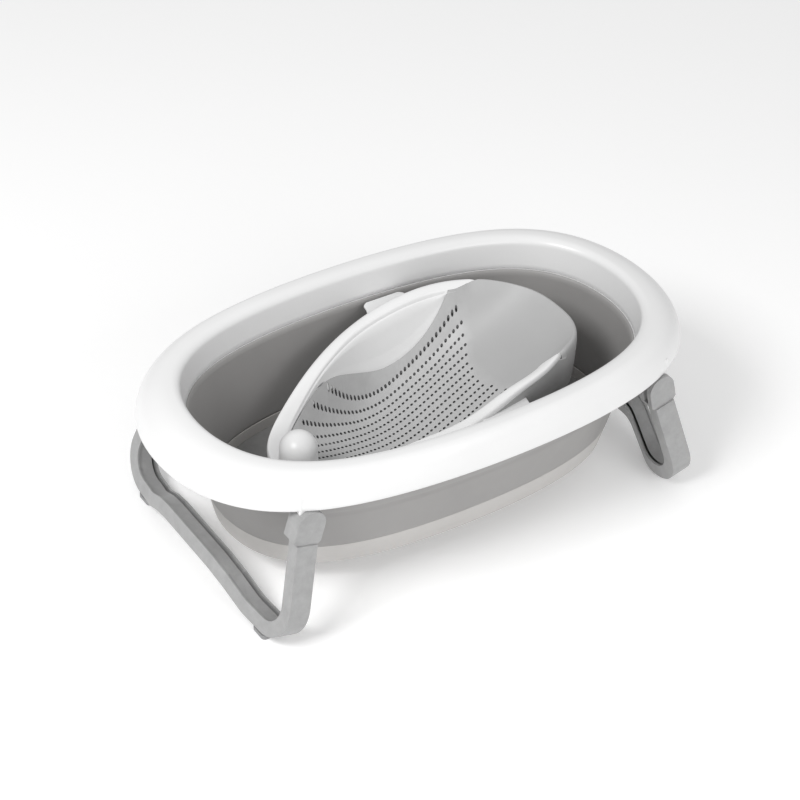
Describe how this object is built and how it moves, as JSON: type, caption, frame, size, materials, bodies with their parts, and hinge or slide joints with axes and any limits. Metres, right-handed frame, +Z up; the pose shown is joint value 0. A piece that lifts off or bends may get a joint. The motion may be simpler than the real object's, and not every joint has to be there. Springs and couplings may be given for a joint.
{
  "type": "folding baby bathtub",
  "caption": "Oval folding baby bathtub with a soft collapsible wall, folding U legs and a reclined perforated bath seat with ball post.",
  "frame": {"origin": "on the floor, under the middle of the rim's outline", "axes": "+X towards the head end of the seat, +Y across to one long side, +Z up"},
  "size_m": [0.82, 0.462, 0.255],
  "materials": {
    "white_plastic": "glossy moulded polypropylene",
    "white_satin_plastic": "satin moulded polypropylene",
    "steel": "zinc plated",
    "grey_tpe": "soft matt elastomer",
    "warm_white_plastic": "satin moulded plastic, warm off-white",
    "grey_plastic": "satin moulded plastic",
    "soft_grey_rubber": "soft matt rubber",
    "seat_grey": "soft matt plastic with perforations",
    "leg_grey": "satin moulded plastic",
    "leg_dark_grey": "dark satin plastic"
  },
  "bodies": {
    "rim_frame": {"rim": "white_plastic", "retaining_ring": "white_satin_plastic", "ring_screws": "steel", "fold_wall": "grey_tpe", "left_near_hinge_pin": "steel", "left_far_hinge_pin": "steel", "right_near_hinge_pin": "steel", "right_far_hinge_pin": "steel"},
    "tray": {"base_tray": "warm_white_plastic", "floor_mat": "grey_tpe", "drain_seat": "grey_plastic"},
    "plug": {"drain_plug": "soft_grey_rubber"},
    "seat": {"seat_shell": "white_plastic", "seat_panel": "seat_grey", "crotch_post": "white_plastic", "seat_feet": "soft_grey_rubber"},
    "left_leg": {"left_leg_shell": "leg_grey", "left_leg_cover": "leg_dark_grey", "left_near_knuckle": "leg_grey", "left_far_knuckle": "leg_grey", "left_foot_pads": "soft_grey_rubber"},
    "right_leg": {"right_leg_shell": "leg_grey", "right_leg_cover": "leg_dark_grey", "right_near_knuckle": "leg_grey", "right_far_knuckle": "leg_grey", "right_foot_pads": "soft_grey_rubber"}
  },
  "joints": [
    {"name": "base_rise", "type": "slide", "parent": "rim_frame", "child": "tray", "axis": [0, 0, 1], "range_m": [0, 0.155], "deforming": ["fold_wall"]},
    {"name": "left_leg_fold", "type": "hinge", "parent": "rim_frame", "child": "left_leg", "pos_m": [-0.288, 0, 0.184], "axis": [0, -1, 0], "range_deg": [0, 98]},
    {"name": "right_leg_fold", "type": "hinge", "parent": "rim_frame", "child": "right_leg", "pos_m": [0.288, 0, 0.184], "axis": [0, 1, 0], "range_deg": [0, 98]},
    {"name": "plug_lift", "type": "slide", "parent": "tray", "child": "plug", "axis": [0, 0, 1], "range_m": [0, 0.022]},
    {"name": "seat_lift", "type": "slide", "parent": "tray", "child": "seat", "axis": [0, 0, 1], "range_m": [0, 0.22]}
  ],
  "couplings": [
    {"joint": "left_leg_fold", "follows": "base_rise", "rad_per_m": 11.03},
    {"joint": "right_leg_fold", "follows": "base_rise", "rad_per_m": 11.03}
  ]
}
